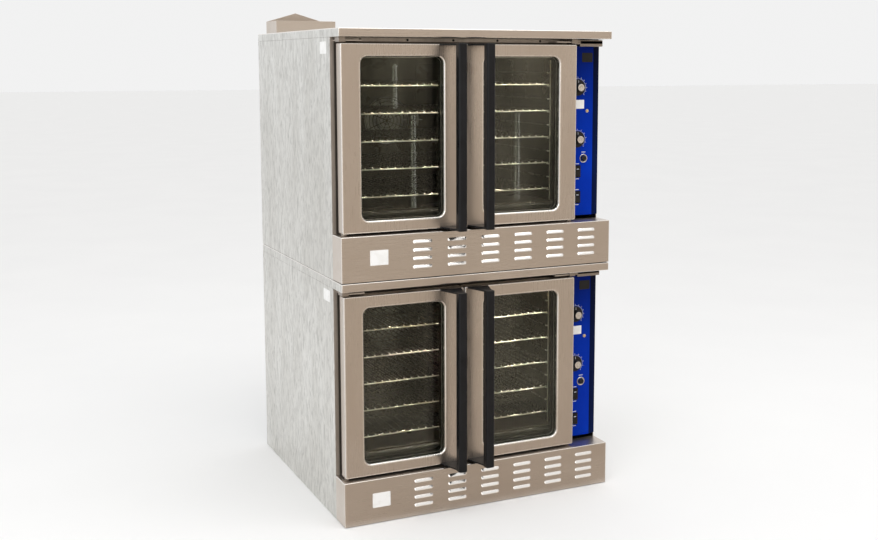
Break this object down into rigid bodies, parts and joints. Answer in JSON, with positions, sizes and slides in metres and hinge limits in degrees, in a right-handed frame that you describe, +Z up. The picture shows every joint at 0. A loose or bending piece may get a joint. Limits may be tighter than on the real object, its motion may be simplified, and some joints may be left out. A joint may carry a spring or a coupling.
{
  "type": "double deck convection oven",
  "caption": "Double-stacked gas convection oven with two pairs of glazed swing doors, full-height bar handles, wire racks, blue side control panels and louvred base panels.",
  "frame": {"origin": "on the floor, under the middle of the oven's box, handles included", "axes": "+Z up, -Y out of the front with the doors, +X to the right as seen from the front, towards the control panels"},
  "size_m": [0.97, 0.9984, 1.659],
  "materials": {
    "stainless": "fine vertical brushing",
    "galvanised_sheet": "dull spangled zinc",
    "cavity_enamel": "dark porcelain enamel",
    "rack_wire": "bright plated wire",
    "door_glass": "clear tempered double pane",
    "blue_panel": "satin blue",
    "handle_black": "satin black coating",
    "control_black": "black moulding",
    "motor_paint": "grey paint",
    "knob_cap": "spun aluminium",
    "gasket": "dull black seal",
    "blank_label": "plain printed film"
  },
  "bodies": {
    "casing": {"lower_left_side_panel": "stainless", "lower_right_side_panel": "stainless", "lower_rear_panel": "galvanised_sheet", "lower_base_pan": "galvanised_sheet", "lower_base_front_panel": "stainless", "lower_top_cover": "stainless", "lower_front_frame": "stainless", "lower_cavity_liner": "cavity_enamel", "lower_left_rack_support": "rack_wire", "lower_right_rack_support": "rack_wire", "lower_fan_motor": "motor_paint", "lower_control_panel": "blue_panel", "upper_left_side_panel": "stainless", "upper_right_side_panel": "stainless", "upper_rear_panel": "galvanised_sheet", "upper_base_pan": "galvanised_sheet", "upper_base_front_panel": "stainless", "upper_top_cover": "stainless", "upper_front_frame": "stainless", "upper_cavity_liner": "cavity_enamel", "upper_left_rack_support": "rack_wire", "upper_right_rack_support": "rack_wire", "upper_fan_motor": "motor_paint", "upper_control_panel": "blue_panel", "flue_box": "stainless"},
    "lower_rack_1": {"lower_rack_1": "rack_wire"},
    "lower_rack_2": {"lower_rack_2": "rack_wire"},
    "lower_rack_3": {"lower_rack_3": "rack_wire"},
    "lower_rack_4": {"lower_rack_4": "rack_wire"},
    "lower_rack_5": {"lower_rack_5": "rack_wire"},
    "lower_left_door": {"lower_left_door": "stainless", "lower_left_door_glass": "door_glass", "lower_left_door_handle": "handle_black"},
    "lower_right_door": {"lower_right_door": "stainless", "lower_right_door_glass": "door_glass", "lower_right_door_handle": "handle_black"},
    "lower_thermostat_knob": {"lower_thermostat_knob": "control_black"},
    "lower_timer_knob": {"lower_timer_knob": "control_black"},
    "lower_light_button": {"lower_light_button": "control_black"},
    "lower_power_rocker": {"lower_power_rocker": "control_black"},
    "lower_fan_rocker": {"lower_fan_rocker": "control_black"},
    "lower_fan_wheel": {"lower_fan_wheel": "galvanised_sheet"},
    "upper_rack_1": {"upper_rack_1": "rack_wire"},
    "upper_rack_2": {"upper_rack_2": "rack_wire"},
    "upper_rack_3": {"upper_rack_3": "rack_wire"},
    "upper_rack_4": {"upper_rack_4": "rack_wire"},
    "upper_rack_5": {"upper_rack_5": "rack_wire"},
    "upper_left_door": {"upper_left_door": "stainless", "upper_left_door_glass": "door_glass", "upper_left_door_handle": "handle_black"},
    "upper_right_door": {"upper_right_door": "stainless", "upper_right_door_glass": "door_glass", "upper_right_door_handle": "handle_black"},
    "upper_thermostat_knob": {"upper_thermostat_knob": "control_black"},
    "upper_timer_knob": {"upper_timer_knob": "control_black"},
    "upper_light_button": {"upper_light_button": "control_black"},
    "upper_power_rocker": {"upper_power_rocker": "control_black"},
    "upper_fan_rocker": {"upper_fan_rocker": "control_black"},
    "upper_fan_wheel": {"upper_fan_wheel": "galvanised_sheet"}
  },
  "joints": [
    {"name": "lower_rack_1_slide", "type": "slide", "parent": "casing", "child": "lower_rack_1", "axis": [0, -1, 0], "range_m": [0, 0.03]},
    {"name": "lower_rack_2_slide", "type": "slide", "parent": "casing", "child": "lower_rack_2", "axis": [0, -1, 0], "range_m": [0, 0.03]},
    {"name": "lower_rack_3_slide", "type": "slide", "parent": "casing", "child": "lower_rack_3", "axis": [0, -1, 0], "range_m": [0, 0.03]},
    {"name": "lower_rack_4_slide", "type": "slide", "parent": "casing", "child": "lower_rack_4", "axis": [0, -1, 0], "range_m": [0, 0.03]},
    {"name": "lower_rack_5_slide", "type": "slide", "parent": "casing", "child": "lower_rack_5", "axis": [0, -1, 0], "range_m": [0, 0.03]},
    {"name": "lower_left_door_hinge", "type": "hinge", "parent": "casing", "child": "lower_left_door", "pos_m": [-0.46, -0.37575, 0.1535], "axis": [0, 0, -1], "range_deg": [0, 120]},
    {"name": "lower_right_door_hinge", "type": "hinge", "parent": "casing", "child": "lower_right_door", "pos_m": [0.348, -0.37575, 0.1535], "axis": [0, 0, 1], "range_deg": [0, 120]},
    {"name": "lower_thermostat_knob_turn", "type": "hinge", "parent": "casing", "child": "lower_thermostat_knob", "pos_m": [0.398, -0.34575, 0.6], "axis": [0, 1, 0], "range_deg": [0, 270]},
    {"name": "lower_timer_knob_turn", "type": "hinge", "parent": "casing", "child": "lower_timer_knob", "pos_m": [0.398, -0.34575, 0.423], "axis": [0, 1, 0], "range_deg": [0, 300]},
    {"name": "lower_light_button_push", "type": "slide", "parent": "casing", "child": "lower_light_button", "axis": [0, 1, 0], "range_m": [0, 0.003], "stiffness_N_per_m": 300},
    {"name": "lower_power_rocker_tilt", "type": "hinge", "parent": "casing", "child": "lower_power_rocker", "pos_m": [0.399, -0.34075, 0.3125], "axis": [1, 0, 0], "range_deg": [-10, 10]},
    {"name": "lower_fan_rocker_tilt", "type": "hinge", "parent": "casing", "child": "lower_fan_rocker", "pos_m": [0.399, -0.34075, 0.223], "axis": [1, 0, 0], "range_deg": [-10, 10]},
    {"name": "lower_fan_wheel_spin", "type": "hinge", "parent": "casing", "child": "lower_fan_wheel", "pos_m": [-0.056, 0.29125, 0.469], "axis": [0, 1, 0], "continuous": true},
    {"name": "upper_rack_1_slide", "type": "slide", "parent": "casing", "child": "upper_rack_1", "axis": [0, -1, 0], "range_m": [0, 0.03]},
    {"name": "upper_rack_2_slide", "type": "slide", "parent": "casing", "child": "upper_rack_2", "axis": [0, -1, 0], "range_m": [0, 0.03]},
    {"name": "upper_rack_3_slide", "type": "slide", "parent": "casing", "child": "upper_rack_3", "axis": [0, -1, 0], "range_m": [0, 0.03]},
    {"name": "upper_rack_4_slide", "type": "slide", "parent": "casing", "child": "upper_rack_4", "axis": [0, -1, 0], "range_m": [0, 0.03]},
    {"name": "upper_rack_5_slide", "type": "slide", "parent": "casing", "child": "upper_rack_5", "axis": [0, -1, 0], "range_m": [0, 0.03]},
    {"name": "upper_left_door_hinge", "type": "hinge", "parent": "casing", "child": "upper_left_door", "pos_m": [-0.46, -0.37575, 0.9435], "axis": [0, 0, -1], "range_deg": [0, 120]},
    {"name": "upper_right_door_hinge", "type": "hinge", "parent": "casing", "child": "upper_right_door", "pos_m": [0.348, -0.37575, 0.9435], "axis": [0, 0, 1], "range_deg": [0, 120]},
    {"name": "upper_thermostat_knob_turn", "type": "hinge", "parent": "casing", "child": "upper_thermostat_knob", "pos_m": [0.398, -0.34575, 1.39], "axis": [0, 1, 0], "range_deg": [0, 270]},
    {"name": "upper_timer_knob_turn", "type": "hinge", "parent": "casing", "child": "upper_timer_knob", "pos_m": [0.398, -0.34575, 1.213], "axis": [0, 1, 0], "range_deg": [0, 300]},
    {"name": "upper_light_button_push", "type": "slide", "parent": "casing", "child": "upper_light_button", "axis": [0, 1, 0], "range_m": [0, 0.003], "stiffness_N_per_m": 300},
    {"name": "upper_power_rocker_tilt", "type": "hinge", "parent": "casing", "child": "upper_power_rocker", "pos_m": [0.399, -0.34075, 1.1025], "axis": [1, 0, 0], "range_deg": [-10, 10]},
    {"name": "upper_fan_rocker_tilt", "type": "hinge", "parent": "casing", "child": "upper_fan_rocker", "pos_m": [0.399, -0.34075, 1.013], "axis": [1, 0, 0], "range_deg": [-10, 10]},
    {"name": "upper_fan_wheel_spin", "type": "hinge", "parent": "casing", "child": "upper_fan_wheel", "pos_m": [-0.056, 0.29125, 1.259], "axis": [0, 1, 0], "continuous": true}
  ]
}
